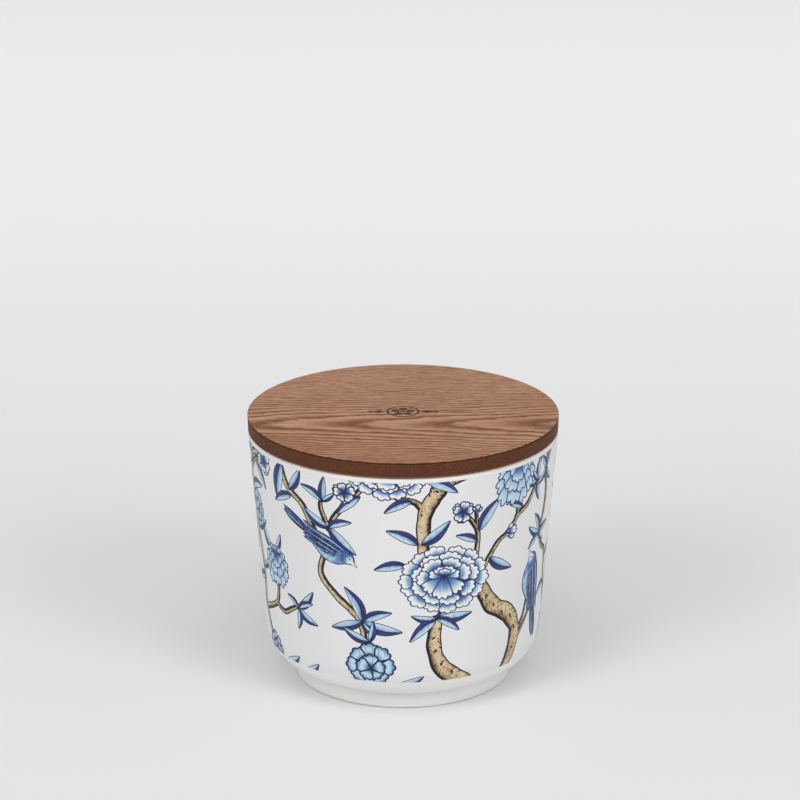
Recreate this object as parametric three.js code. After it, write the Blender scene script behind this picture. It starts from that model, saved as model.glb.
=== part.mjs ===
// A lidded storage canister: a tapered ceramic jar on a narrow foot, wrapped in a printed film, closed by a
// veneered wooden lid whose plug carries a finned silicone seal.
// Millimetres, +Z up. The origin is the middle of the foot's underside, on the axis of the whole object.
import * as THREE from "three";

// ---- driving dimensions ----------------------------------------------------------------------------------
const SEGMENTS = 64; // facets round every turned piece

const RIM_RADIUS = 59.6;
const RIM_HEIGHT = 99.5;
const WALL_TAPER = 0.079; // the wall's radius grows by this much for each millimetre of height
const WALL_THICKNESS = 4;
const RIM_OUTER_ROUND = 1.2;
const RIM_INNER_ROUND = 1.5;
const MOUTH_RADIUS = 55; // straight-sided seat for the seal
const MOUTH_DEPTH = 14;

const FOOT_RADIUS = 42.2;
const FOOT_HEIGHT = 7;
const FOOT_RING_WIDTH = 4;
const FOOT_CHAMFER = 0.6;
const FOOT_RECESS = 3.8;
const SHOULDER = { width: 11, height: 16, steps: 8 }; // elliptical turn from the wall down to the foot
const FLOOR_TOP = 9.4;
const FLOOR_TURN = { width: 11, height: 12, steps: 6 }; // elliptical turn from the floor up to the inner wall

const FILM_THICKNESS = 0.2;
const FILM_CLEARANCE = 0.06;
const FILM_BOTTOM = 15;
const FILM_TOP = 97.7;

const LID_RADIUS = 60;
const LID_UNDERSIDE = 99.8;
const VENEER = 0.6;
const GLUE_LINE = 0.1;
const CORE_THICKNESS = 4.7;
const CORE_LEAN = 0.15; // how much smaller the core is at its lower edge
const EDGE_CHAMFER = 0.2;

const PLUG_RADIUS = 53;
const PLUG_DEPTH = 9.4;
const PLUG_CHAMFER = 0.8;
const GROOVE_RADIUS = 50;
const GROOVE_LIP = 2.2; // thickness of the plug above and below the groove

const SEAL_CLEARANCE = 0.15; // between the seal's band and the groove
const SEAL_BAND = 1.6;
const SEAL_TIP_RADIUS = 54.75;
const FIN_COUNT = 3;
const FIN_ROOT = 0.9;
const FIN_TIP = 0.5;

const COLOURS = {
  glaze: { color: 0xe4e3e4, roughness: 0.35, metalness: 0 },
  film: { color: 0xdcdce0, roughness: 0.45, metalness: 0 },
  fibreboard: { color: 0x5f3c2c, roughness: 0.55, metalness: 0 },
  veneer: { color: 0xa3785c, roughness: 0.5, metalness: 0 },
  silicone: { color: 0xe9e9e6, roughness: 0.6, metalness: 0 },
};

// ---- outlines in the radius-height plane -----------------------------------------------------------------
const point = (radius, height) => new THREE.Vector2(radius, height);
const degrees = THREE.MathUtils.radToDeg;

// Points of an elliptical arc, angles in degrees from the outward direction, both ends included.
function arc(centre, width, height, from, to, steps) {
  return Array.from({ length: steps + 1 }, (_, i) => {
    const angle = THREE.MathUtils.degToRad(from + ((to - from) * i) / steps);
    return point(centre.x + width * Math.cos(angle), centre.y + height * Math.sin(angle));
  });
}

// Radius of the straight, tapered outer wall at a height.
const wallRadius = (height) => RIM_RADIUS - WALL_TAPER * (RIM_HEIGHT - height);

// The elliptical turn from the level bottom of a bowl into a tapered wall, from the bottom up.
function bowlTurn(turn, bottom, radiusAt) {
  const end = -Math.atan((turn.height / turn.width) * WALL_TAPER);
  const centreHeight = bottom + turn.height;
  const endHeight = centreHeight + turn.height * Math.sin(end);
  const centre = point(radiusAt(endHeight) - turn.width * Math.cos(end), centreHeight);
  return arc(centre, turn.width, turn.height, -90, degrees(end), turn.steps);
}

// The jar's outer side from the foot's top to just under the rim's rounded edge.
function outerSide() {
  const top = RIM_HEIGHT - RIM_OUTER_ROUND;
  return [...bowlTurn(SHOULDER, FOOT_HEIGHT, wallRadius), point(wallRadius(top), top)];
}

// The stretch of an upward outline between two heights, with its ends cut level.
function between(outline, bottom, top) {
  const cut = (height) => {
    const next = outline.findIndex((p) => p.y >= height);
    const [low, high] = [outline[next - 1], outline[next]];
    return point(THREE.MathUtils.mapLinear(height, low.y, high.y, low.x, high.x), height);
  };
  return [cut(bottom), ...outline.filter((p) => p.y > bottom && p.y < top), cut(top)];
}

// ---- pieces ----------------------------------------------------------------------------------------------
// A solid of revolution about +Z. The outline runs anticlockwise with the radius to the right.
function turned(name, outline, look) {
  const geometry = new THREE.LatheGeometry(outline, SEGMENTS);
  geometry.rotateX(Math.PI / 2);
  const mesh = new THREE.Mesh(geometry, new THREE.MeshStandardMaterial(look));
  mesh.name = name;
  return mesh;
}

// A flat disc with a small chamfer on both edges; lean narrows its lower edge.
function disc(name, radius, bottom, thickness, chamfer, look, lean = 0) {
  const top = bottom + thickness;
  return turned(
    name,
    [
      point(0, bottom),
      point(radius - lean - chamfer, bottom),
      point(radius - lean, bottom + chamfer),
      point(radius, top - chamfer),
      point(radius - chamfer, top),
      point(0, top),
    ],
    look,
  );
}

function canisterBody() {
  const footInner = FOOT_RADIUS - FOOT_RING_WIDTH;
  const innerRadius = (height) => wallRadius(height) - WALL_THICKNESS;
  const underside = [
    point(0, FOOT_RECESS),
    point(footInner - FOOT_RECESS, FOOT_RECESS),
    point(footInner, FOOT_CHAMFER),
    point(footInner + FOOT_CHAMFER, 0),
    point(FOOT_RADIUS - FOOT_CHAMFER, 0),
    point(FOOT_RADIUS, FOOT_CHAMFER),
    point(FOOT_RADIUS, FOOT_HEIGHT),
  ];
  const side = outerSide();
  const outerRound = point(side.at(-1).x - RIM_OUTER_ROUND, RIM_HEIGHT - RIM_OUTER_ROUND);
  const innerRound = point(MOUTH_RADIUS + RIM_INNER_ROUND, RIM_HEIGHT - RIM_INNER_ROUND);
  const rim = [
    ...arc(outerRound, RIM_OUTER_ROUND, RIM_OUTER_ROUND, 0, 90, 3).slice(1),
    ...arc(innerRound, RIM_INNER_ROUND, RIM_INNER_ROUND, 90, 180, 3),
  ];
  const inside = [
    point(MOUTH_RADIUS, RIM_HEIGHT - MOUTH_DEPTH),
    ...bowlTurn(FLOOR_TURN, FLOOR_TOP, innerRadius).reverse(),
    point(0, FLOOR_TOP),
  ];
  return turned("canister_body", [...underside, ...side, ...rim, ...inside], COLOURS.glaze);
}

function printWrap() {
  const covered = between(outerSide(), FILM_BOTTOM, FILM_TOP);
  const skin = (offset) => covered.map((p) => point(p.x + offset, p.y));
  const outer = skin(FILM_CLEARANCE + FILM_THICKNESS);
  const inner = skin(FILM_CLEARANCE).reverse();
  return turned("print_wrap", [...outer, ...inner, outer[0].clone()], COLOURS.film);
}

function plug(top) {
  const bottom = top - PLUG_DEPTH;
  return turned(
    "lid_plug",
    [
      point(0, bottom),
      point(PLUG_RADIUS - PLUG_CHAMFER, bottom),
      point(PLUG_RADIUS, bottom + PLUG_CHAMFER),
      point(PLUG_RADIUS, bottom + GROOVE_LIP),
      point(GROOVE_RADIUS, bottom + GROOVE_LIP),
      point(GROOVE_RADIUS, top - GROOVE_LIP),
      point(PLUG_RADIUS, top - GROOVE_LIP),
      point(PLUG_RADIUS, top),
      point(0, top),
    ],
    COLOURS.fibreboard,
  );
}

// A band in the plug's groove with thin fins that reach out to the mouth's wall.
function sealRing(plugTop) {
  const bottom = plugTop - PLUG_DEPTH + GROOVE_LIP + SEAL_CLEARANCE;
  const top = plugTop - GROOVE_LIP - SEAL_CLEARANCE;
  const inner = GROOVE_RADIUS + SEAL_CLEARANCE;
  const outer = inner + SEAL_BAND;
  const pitch = (top - bottom) / FIN_COUNT;
  const fins = Array.from({ length: FIN_COUNT }, (_, i) => {
    const middle = bottom + pitch * (i + 0.5);
    return [
      point(outer, middle - FIN_ROOT / 2),
      point(SEAL_TIP_RADIUS, middle - FIN_TIP / 2),
      point(SEAL_TIP_RADIUS, middle + FIN_TIP / 2),
      point(outer, middle + FIN_ROOT / 2),
    ];
  }).flat();
  const outline = [point(inner, bottom), point(outer, bottom), ...fins, point(outer, top), point(inner, top)];
  return turned("seal_ring", [...outline, outline[0].clone()], COLOURS.silicone);
}

// ---- assembly --------------------------------------------------------------------------------------------
const coreBottom = LID_UNDERSIDE + VENEER + GLUE_LINE;
const topVeneerBottom = coreBottom + CORE_THICKNESS + GLUE_LINE;
const plugTop = LID_UNDERSIDE - GLUE_LINE;

const canister = new THREE.Group();
canister.add(canisterBody(), printWrap());

const lid = new THREE.Group();
lid.add(
  disc("bottom_veneer", LID_RADIUS - CORE_LEAN, LID_UNDERSIDE, VENEER, EDGE_CHAMFER, COLOURS.veneer),
  disc("lid_core", LID_RADIUS, coreBottom, CORE_THICKNESS, EDGE_CHAMFER, COLOURS.fibreboard, CORE_LEAN),
  disc("top_veneer", LID_RADIUS, topVeneerBottom, VENEER, EDGE_CHAMFER, COLOURS.veneer),
  plug(plugTop),
  sealRing(plugTop),
);

const part = new THREE.Group();
part.add(canister, lid);

export default part;
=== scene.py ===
"""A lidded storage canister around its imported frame: a glazed jar, the printed film round its wall, and a
veneered lid with its plug and seal. The drawing on the film is made here too, as flat shapes that are cut
into coloured triangles and bent round the wall."""

import math
import random

import bpy
import numpy as np
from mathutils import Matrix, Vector
from mathutils.geometry import delaunay_2d_cdt


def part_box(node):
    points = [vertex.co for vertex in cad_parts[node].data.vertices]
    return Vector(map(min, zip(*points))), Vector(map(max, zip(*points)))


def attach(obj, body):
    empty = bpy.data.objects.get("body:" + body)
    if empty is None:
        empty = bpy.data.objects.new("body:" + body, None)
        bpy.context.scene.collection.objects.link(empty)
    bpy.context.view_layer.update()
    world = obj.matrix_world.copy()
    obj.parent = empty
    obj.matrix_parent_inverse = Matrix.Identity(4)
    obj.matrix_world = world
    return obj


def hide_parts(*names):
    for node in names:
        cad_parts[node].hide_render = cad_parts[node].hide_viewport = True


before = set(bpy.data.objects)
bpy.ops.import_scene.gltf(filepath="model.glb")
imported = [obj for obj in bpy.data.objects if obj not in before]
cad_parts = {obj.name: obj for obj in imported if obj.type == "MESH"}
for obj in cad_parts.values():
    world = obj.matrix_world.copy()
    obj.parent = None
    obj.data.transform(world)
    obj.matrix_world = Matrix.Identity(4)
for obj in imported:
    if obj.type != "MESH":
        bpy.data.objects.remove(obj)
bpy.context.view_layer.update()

MM = 0.001


def box_mm(node):
    """Lowest and highest corner of a CAD node, in millimetres."""
    return [np.array(corner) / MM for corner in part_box(node)]


# ---- sizes, in millimetres
RIM_HEIGHT = box_mm("canister_body")[1][2]
WALL_TAPER = 0.079  # radius gained for each millimetre of height
RIM_ROUND = 1.2
MOUTH_ROUND = 1.5
RIM_RADIUS = box_mm("canister_body")[1][0] + WALL_TAPER * RIM_ROUND
WALL_THICKNESS = 4.0
MOUTH_RADIUS = 55.0
MOUTH_DEPTH = 14.0
FOOT_RADIUS = 42.2
FOOT_HEIGHT = 7.0
FOOT_RING_WIDTH = 4.0
FOOT_RECESS = 3.8
FOOT_ROUND = 0.6
FOOT_FILLET = 1.6  # softens the corner between the foot and the shoulder
SHOULDER_START = 1.5  # how far out of its lowest point the shoulder takes over from the foot
SHOULDER_WIDTH, SHOULDER_HEIGHT = 11.0, 16.0
FLOOR_TOP = 9.4
FLOOR_TURN_WIDTH, FLOOR_TURN_HEIGHT = 11.0, 12.0
GROOVE_RADIUS = 50.0  # of the plug, where the seal sits
GROOVE_LIP = 2.2
SEAL_GAP = 0.15  # between the groove and the seal's band
SEAL_BAND = 1.6
FIN_COUNT = 3
FIN_ROOT, FIN_TIP = 0.9, 0.5
EDGE_ROUND = 0.25  # of the lid's sawn and sanded edges
CORE_LEAN = 0.15  # how much smaller the lid's board is at its lower edge
FILM_THICKNESS = 0.2
FILM_STAND_OFF = 0.26  # of the film's printed face from the wall
SEGMENTS = 256
ARC_STEP = math.radians(15)  # at most, in a rounded corner

PRINT_RADIUS = 56.5  # the print's widths are measured on the wall at this radius
WALL_ROUND = 2 * math.pi * PRINT_RADIUS
HALF_ROUND = WALL_ROUND / 2
REPEAT_HEIGHT = 104.0  # of the drawing, which is repeated
BACK_DROP = 30.0  # how much lower the repeats at the back stand
DRAWING_SEED = 11
INK_LAYER = "ink"
CUT_GRAIN = 0.001  # points of the drawing nearer than this are one
INK_GRAIN = 0.8  # spacing of the corners that carry a blended ink
BEND_CUTS = 72
SHOULDER_ON_PRINT = 8.0  # how far up the print the wall is curved
PROFILE_STEPS = 600

HEART_LINE = -15.0  # where the arches of the lid's grain lie, in front of its middle
HEART_DEPTH = 34.0
HEART_SLOPE = 0.038
RINGS_PER_MM = 0.75
BLOSSOM_RING = 6.0  # radius of the ring burnt round the lid's blossom
LOZENGES = [(9.3, 2.5, 1.9), (12.6, 1.4, 1.1)]  # how far out, half width and half height

FLOOR_RINGS = (300.0, 1200.0, 3000.0, 6000.0)  # radii of the rings of the studio's floor
FLOOR_SEGMENTS = 96


def unit(vectors):
    """Vectors brought to length 1."""
    return vectors / np.linalg.norm(vectors, axis=-1, keepdims=True)


# ---- outlines of turned pieces, as (radius, height) points
def rounded(corners):
    """A line through (radius, height, rounding) corners, where rounding is the radius of a corner's arc."""
    made = []
    for i, (x, y, radius) in enumerate(corners):
        corner = np.array([x, y], float)
        if radius == 0 or i in (0, len(corners) - 1):
            made.append(corner)
            continue
        back = unit(np.array(corners[i - 1][:2], float) - corner)
        ahead = unit(np.array(corners[i + 1][:2], float) - corner)
        half_angle = math.acos(float(np.clip(back @ ahead, -1, 1))) / 2
        reach = radius / math.tan(half_angle)
        centre = corner + unit(back + ahead) * radius / math.sin(half_angle)
        first, last = (math.atan2(*(corner + way * reach - centre)[::-1]) for way in (back, ahead))
        turn = (last - first + math.pi) % (2 * math.pi) - math.pi
        steps = max(2, math.ceil(abs(turn) / ARC_STEP))
        for k in range(steps + 1):
            angle = first + turn * k / steps
            made.append(centre + radius * np.array([math.cos(angle), math.sin(angle)]))
    return made


def wall_radius(height):
    """The outer wall's radius at a height."""
    return RIM_RADIUS - WALL_TAPER * (RIM_HEIGHT - height)


def bowl_turn(width, height, bottom, inset, steps):
    """The elliptical turn from a level bottom up into a tapered wall, inset from the jar's outer one."""
    end = -math.atan(height / width * WALL_TAPER)
    end_height = bottom + height * (1 + math.sin(end))
    centre = wall_radius(end_height) - inset - width * math.cos(end)
    angles = np.linspace(-math.pi / 2, end, steps + 1)
    return [np.array([centre + width * math.cos(a), bottom + height * (1 + math.sin(a))]) for a in angles]


def outer_side():
    """The jar's outer side from the shoulder's lowest point up to the rim's rounding."""
    side = bowl_turn(SHOULDER_WIDTH, SHOULDER_HEIGHT, FOOT_HEIGHT, 0, 28)
    heights = np.linspace(side[-1][1], RIM_HEIGHT - RIM_ROUND, 8)[1:]
    return side + [np.array([wall_radius(h), h]) for h in heights]


# ---- mesh making
def placed(name, data):
    """A new object in the scene with this mesh, lamp or lens."""
    thing = bpy.data.objects.new(name, data)
    bpy.context.scene.collection.objects.link(thing)
    return thing


def new_piece(name, vertices, faces, materials, numbers=None):
    """An object from points in millimetres; numbers tells which of the materials each face has."""
    mesh = bpy.data.meshes.new(name)
    mesh.from_pydata([tuple(v) for v in np.asarray(vertices, float) * MM], [], faces)
    for material in materials:
        mesh.materials.append(material)
    if numbers is not None:
        mesh.polygons.foreach_set("material_index", np.asarray(numbers, np.int32))
    mesh.shade_smooth()
    mesh.update()
    return placed(name, mesh)


def turned(name, outline, materials, number_at=None):
    """A solid of revolution. The outline runs anticlockwise with the radius to the right; it starts and ends
    on the axis, or closes on itself. number_at tells which material the stretch at (radius, height) has."""
    outline = np.asarray(outline, float)
    on_axis = outline[0][0] < 1e-6
    rings = outline[1:-1] if on_axis else outline
    last = len(rings) - 1
    angles = [2 * math.pi * k / SEGMENTS for k in range(SEGMENTS)]
    vertices = [(r * math.cos(angle), r * math.sin(angle), h) for r, h in rings for angle in angles]
    segments = [(k, (k + 1) % SEGMENTS) for k in range(SEGMENTS)]
    faces, middles = [], []
    for low, high in [(i, i + 1) for i in range(last)] + ([] if on_axis else [(last, 0)]):
        a, b = low * SEGMENTS, high * SEGMENTS
        faces += [(a + k, a + n, b + n, b + k) for k, n in segments]
        middles.append((rings[low] + rings[high]) / 2)
    for end, ring in ((outline[0], 0), (outline[-1], last)) if on_axis else ():
        pole, a = len(vertices), ring * SEGMENTS
        vertices.append((0, 0, end[1]))
        fan = [(pole, a + k, a + n) for k, n in segments]
        faces += fan if ring else [(pole, n, k) for pole, k, n in fan]
        middles.append((end + rings[ring]) / 2)
    numbers = [number_at(*middle) for middle in middles for _ in segments] if number_at else None
    return new_piece(name, vertices, faces, materials, numbers)


# ---- the jar
def make_jar(material):
    """The jar, its section drawn from the middle of its underside round to the middle of its floor."""
    ring_inner = FOOT_RADIUS - FOOT_RING_WIDTH
    side = outer_side()
    foot = rounded([
        (0, FOOT_RECESS, 0),
        (ring_inner - FOOT_RECESS, FOOT_RECESS, 2.0),
        (ring_inner, FOOT_ROUND, 0.5),
        (ring_inner + FOOT_ROUND, 0, 0.5),
        (FOOT_RADIUS, 0, FOOT_ROUND),
        (FOOT_RADIUS, FOOT_HEIGHT, FOOT_FILLET),
        (side[0][0] + SHOULDER_START, FOOT_HEIGHT + 0.02, 0),
    ])
    shoulder = [p for p in side if p[0] > foot[-1][0] + 0.3]
    floor = bowl_turn(FLOOR_TURN_WIDTH, FLOOR_TURN_HEIGHT, FLOOR_TOP, WALL_THICKNESS, 14)[::-1]
    rim = rounded([
        (*side[-2], 0),
        (RIM_RADIUS, RIM_HEIGHT, RIM_ROUND),
        (MOUTH_RADIUS, RIM_HEIGHT, MOUTH_ROUND),
        (MOUTH_RADIUS, RIM_HEIGHT - MOUTH_DEPTH, 0.8),
        (*floor[0], 0),
    ])
    return turned("jar", foot + shoulder[:-2] + rim + floor[1:] + [np.array([0, FLOOR_TOP])], [material])


# ---- the lid
def make_board(name, node, materials, lean=0.0, number_at=None):
    """A flat round board with softened edges, in a CAD node's place. lean narrows its lower edge."""
    (_, _, low), (radius, _, high) = box_mm(node)
    return turned(name, rounded([
        (0, low, 0),
        (radius - lean - 3 * EDGE_ROUND, low, 0),
        (radius - lean, low, EDGE_ROUND),
        (radius, high, EDGE_ROUND),
        (radius - 3 * EDGE_ROUND, high, 0),
        (0, high, 0),
    ]), materials, number_at)


def make_plug(material):
    (_, _, low), (radius, _, high) = box_mm("lid_plug")
    return turned("plug", rounded([
        (0, low, 0),
        (radius - 3, low, 0),
        (radius, low, 0.9),
        (radius, low + GROOVE_LIP, 0.3),
        (GROOVE_RADIUS, low + GROOVE_LIP, 0.4),
        (GROOVE_RADIUS, high - GROOVE_LIP, 0.4),
        (radius, high - GROOVE_LIP, 0.3),
        (radius, high, 0.2),
        (0, high, 0),
    ]), [material])


def make_seal(material):
    """A band in the plug's groove, with fins that reach out to the mouth's wall."""
    (_, _, low), (tip, _, high) = box_mm("seal_ring")
    inner = GROOVE_RADIUS + SEAL_GAP
    band = inner + SEAL_BAND
    pitch = (high - low) / FIN_COUNT
    corners = [(inner, low, 0), (band, low, 0.3)]
    for i in range(FIN_COUNT):
        middle = low + pitch * (i + 0.5)
        corners += [
            (band, middle - FIN_ROOT / 2 - 0.15, 0.25),
            (tip, middle - FIN_TIP / 2, 0.22),
            (tip, middle + FIN_TIP / 2, 0.22),
            (band, middle + FIN_ROOT / 2 + 0.15, 0.25),
        ]
    return turned("seal", rounded(corners + [(band, high, 0.3), (inner, high, 0)]), [material])


# ---- materials
def linear(colour):
    """sRGB numbers from 0 to 1 as linear light."""
    colour = np.asarray(colour, float)
    return np.where(colour <= 0.04045, colour / 12.92, ((colour + 0.055) / 1.055) ** 2.4)


def rgb(*values):
    """A colour given as sRGB from 0 to 255."""
    return (*linear(np.array(values) / 255), 1.0)


class Number:
    """A number that a material's nodes work out. Arithmetic on it adds the nodes for that."""

    def __init__(self, look, socket):
        self.look = look
        self.socket = socket

    def __add__(self, other):
        return self.look.math("ADD", self, other)

    def __sub__(self, other):
        return self.look.math("SUBTRACT", self, other)

    def __mul__(self, other):
        return self.look.math("MULTIPLY", self, other)

    def __truediv__(self, other):
        return self.look.math("DIVIDE", self, other)

    def __abs__(self):
        return self.look.math("ABSOLUTE", self)

    def to(self, low, high):
        """This number, which runs from 0 to 1, moved to run from low to high."""
        return self.look.math("MULTIPLY_ADD", self, high - low, low)


class Look:
    """A material with one Principled shader, and short ways to add the nodes that drive it."""

    def __init__(self, name, **plain):
        self.material = bpy.data.materials.new(name)
        self.material.use_nodes = True
        self.tree = self.material.node_tree
        self.shader = self.tree.nodes["Principled BSDF"].inputs
        for socket, value in plain.items():
            self.shader[socket.replace("_", " ")].default_value = value
        metres = self.add("TexCoord", {})["Object"]
        self.place = self.add("VectorMath", {0: metres, 3: 1 / MM}, operation="SCALE")["Vector"]

    def feed(self, socket, value):
        """Set a socket to a value, or link it to where the value comes from."""
        value = value.socket if isinstance(value, Number) else value
        if isinstance(value, bpy.types.NodeSocket):
            self.tree.links.new(value, socket)
        else:
            socket.default_value = value

    def add(self, kind, inputs, **settings):
        """The outputs of a new node. inputs gives what feeds its sockets, by their names or numbers."""
        node = self.tree.nodes.new("ShaderNode" + kind)
        for name, value in settings.items():
            setattr(node, name, value)
        for socket, value in inputs.items():
            self.feed(node.inputs[socket], value)
        return node.outputs

    def math(self, operation, a, b=0.0, c=0.0):
        return Number(self, self.add("Math", {0: a, 1: b, 2: c}, operation=operation)[0])

    def larger(self, a, b):
        return self.math("MAXIMUM", a, b)

    def reach(self, x, y):
        """How far (x, y) is from the origin."""
        return self.math("SQRT", self.math("POWER", x, 2.0) + self.math("POWER", y, 2.0))

    def axes(self, vector):
        """The three numbers of a vector."""
        return [Number(self, part) for part in self.add("SeparateXYZ", {0: vector})]

    def stretched(self, stretch):
        return self.add("VectorMath", {0: self.place, 1: stretch}, operation="MULTIPLY")["Vector"]

    def noise(self, stretch, detail=2.0, rough=0.5):
        """Noise from 0 to 1 with the given repeats per millimetre along each axis."""
        inputs = {"Vector": self.stretched(stretch), "Scale": 1.0, "Detail": detail, "Roughness": rough}
        return Number(self, self.add("TexNoise", inputs)["Fac"])

    def cells(self, stretch):
        """Distance to the nearest of scattered points, with the given repeats per millimetre."""
        inputs = {"Vector": self.stretched(stretch), "Scale": 1.0}
        return Number(self, self.add("TexVoronoi", inputs)["Distance"])

    def step(self, value, low, high):
        """0 below low, 1 above high, smooth between; low above high turns it round."""
        inputs = {"Value": value, "From Min": low, "From Max": high}
        return Number(self, self.add("MapRange", inputs, interpolation_type="SMOOTHSTEP")["Result"])

    def ramp(self, value, stops):
        """A colour ramp of (place, sRGB colour) stops."""
        output = self.add("ValToRGB", {0: value})[0]
        elements = output.node.color_ramp.elements
        while len(elements) < len(stops):
            elements.new(0.5)
        for element, (place, colour) in zip(elements, stops):
            element.position = place
            element.color = rgb(*colour)
        return output

    def blend(self, share, a, b):
        """The number a turned into the number b by a share from 0 to 1."""
        return Number(self, self.add("Mix", {0: share, 2: a, 3: b})[0])

    def mix(self, share, a, b, mode="MIX"):
        """The colour a turned into the colour b by a share, or multiplied by it."""
        return self.add("Mix", {0: share, 6: a, 7: b}, data_type="RGBA", blend_type=mode)[2]

    def bump(self, height, depth):
        """Relief: height from 0 to 1 stands for this many millimetres."""
        relief = self.add("Bump", {"Distance": depth * MM, "Height": height})
        self.feed(self.shader["Normal"], relief[0])

    def colour(self, value):
        self.feed(self.shader["Base Color"], value)

    def roughness(self, value):
        self.feed(self.shader["Roughness"], value)


def glaze():
    """White glaze with faint unevenness, bare tan clay on the foot ring."""
    look = Look("glaze", Coat_Weight=0.12, Coat_Roughness=0.25)
    _, _, height = look.axes(look.place)
    cloud = look.noise((0.03, 0.03, 0.05), 3)
    white = look.mix(cloud, rgb(229, 229, 227), rgb(236, 236, 235))
    speck = look.step(look.cells((0.22, 0.22, 0.22)), 0.075, 0.045)
    white = look.mix(speck * 0.35, white, rgb(186, 178, 166))
    ragged = look.noise((0.5, 0.5, 0.2), 3).to(0.2, 0.7)
    bare = look.math("LESS_THAN", height, ragged)
    clay = look.mix(look.noise((1.2, 1.2, 1.2), 4), rgb(196, 182, 160), rgb(216, 205, 186))
    look.colour(look.mix(bare, white, clay))
    look.roughness(look.blend(bare, cloud.to(0.3, 0.4), 0.8))
    ripple = look.noise((0.12, 0.12, 0.08), 2).to(0.0, 0.7)
    look.bump(look.math("MULTIPLY_ADD", look.noise((1.6, 1.6, 1.6), 3), 0.12, ripple), 0.12)
    return look.material


def print_film():
    """The printed film: ink colours from the drawing, slightly clouded, under a satin surface."""
    look = Look("print_film", Specular_IOR_Level=0.3)
    inks = look.add("Attribute", {}, attribute_name=INK_LAYER)["Color"]
    wash = look.noise((0.35, 0.35, 0.35), 4, 0.6).to(0.9, 1.1)
    grain = look.noise((3.0, 3.0, 3.0), 2).to(0.96, 1.04)
    paper = look.step(look.axes(inks)[0], 0.62, 0.72)
    shade = look.blend(paper, wash * grain, 1.0)
    look.colour(look.mix(1.0, inks, shade, "MULTIPLY"))
    look.roughness(look.noise((0.2, 0.2, 0.2), 2).to(0.36, 0.48))
    look.bump(look.noise((0.25, 0.25, 0.25), 3), 0.04)
    return look.material


def growth_rings(look, x, y):
    """Growth rings of a flat-sawn board, which point to the left in front of the middle and run straight
    behind it. Gives a number that rises by one from each ring to the next."""
    warp = look.noise((0.011, 0.026, 0.03), 2).to(-7.5, 7.5)
    ripple = look.noise((0.045, 0.14, 0.1), 3).to(-1.8, 1.8)
    fray = look.noise((0.16, 2.4, 1.0), 2).to(-0.45, 0.45)
    across = y - HEART_LINE + (warp + ripple)
    rise = look.math("MULTIPLY_ADD", x, -HEART_SLOPE, HEART_DEPTH)
    return look.math("MULTIPLY_ADD", look.reach(across, rise), RINGS_PER_MM, fray)


def burnt_mark(look, x, y):
    """1 where the lid is burnt: a five-petalled blossom in a ring, between two pairs of lozenges."""
    radius = look.reach(x, y)
    lobe = look.math("POWER", abs(look.math("COSINE", look.math("ARCTAN2", x, y) * 2.5)), 0.55)
    petals = look.step(radius - lobe.to(1.5, 4.8), 0.12, -0.12)
    eye = look.step(abs(radius - 1.3), 0.2, 0.4)
    ring = look.step(abs(radius - BLOSSOM_RING), 0.56, 0.36)
    mark = look.larger(petals * eye, ring)
    side, up = abs(x), abs(y)
    for place, wide, high in LOZENGES:
        mark = look.larger(mark, look.step(abs(side - place) / wide + up / high, 1.08, 0.92))
    return mark * look.noise((1.5, 1.5, 1.0), 2).to(0.75, 1.05)


RING_TONES = [(0.0, (129, 78, 45)), (0.12, (151, 98, 62)), (0.36, (188, 139, 104)), (0.62, (209, 164, 135)),
              (0.9, (214, 171, 144)), (1.0, (129, 78, 45))]
FIBRE_TONES = [(0.3, (174, 156, 140)), (0.5, (238, 233, 228)), (0.7, (255, 255, 255))]
# multipliers for random patches of tone and for the painted light that pales the board towards its back
PATCH_AND_PAINTED_LIGHT_TONES = [(0.3, (236, 221, 206)), (0.5, (246, 243, 240)), (0.7, (255, 255, 255))]


def veneer(marked):
    """Brown-stained oak: pale late wood, rings of dark open pores, fine fibres and perhaps the burnt mark,
    with painted light that makes it paler towards the back.
    """
    look = Look("marked_veneer" if marked else "veneer", Specular_IOR_Level=0.3)
    x, y, _ = look.axes(look.place)
    part = look.math("FRACT", growth_rings(look, x, y))
    fibre = look.noise((0.03, 1.3, 1.0), 5, 0.65)
    base = look.mix(0.9, look.ramp(part, RING_TONES), look.ramp(fibre, FIBRE_TONES), "MULTIPLY")
    pores = look.step(look.cells((0.2, 3.6, 1.0)), 0.4, 0.22)
    more_pores = look.step(look.cells((0.3, 6.0, 1.0)), 0.42, 0.2)
    early = look.step(part, 0.55, 0.1).to(0.28, 1.0)
    dashes = look.larger(pores, more_pores) * early
    base = look.mix(dashes * 0.8, base, rgb(98, 56, 33))
    # random patches of tone plus painted light: the term in y makes the board paler towards its back
    patch_and_painted_light = look.math("MULTIPLY_ADD", y, 0.003, look.noise((0.014, 0.03, 0.03), 3))
    base = look.mix(1.0, base, look.ramp(patch_and_painted_light, PATCH_AND_PAINTED_LIGHT_TONES), "MULTIPLY")
    if marked:
        burnt = burnt_mark(look, x, y)
        base = look.mix(burnt, base, rgb(50, 30, 23))
        dashes = look.larger(dashes, burnt)
    look.colour(base)
    look.roughness(fibre.to(0.5, 0.66))
    look.bump(fibre * 0.35 - dashes, 0.045)
    return look.material


def silicone():
    """Translucent white silicone."""
    look = Look("silicone", Subsurface_Weight=0.25, Subsurface_Scale=0.002)
    cloud = look.noise((0.05, 0.05, 0.1), 2)
    look.colour(look.mix(cloud, rgb(222, 222, 218), rgb(233, 233, 230)))
    look.roughness(look.noise((1.5, 1.5, 1.5), 2).to(0.5, 0.62))
    look.bump(look.noise((0.8, 0.8, 0.8), 2), 0.02)
    return look.material


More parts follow.
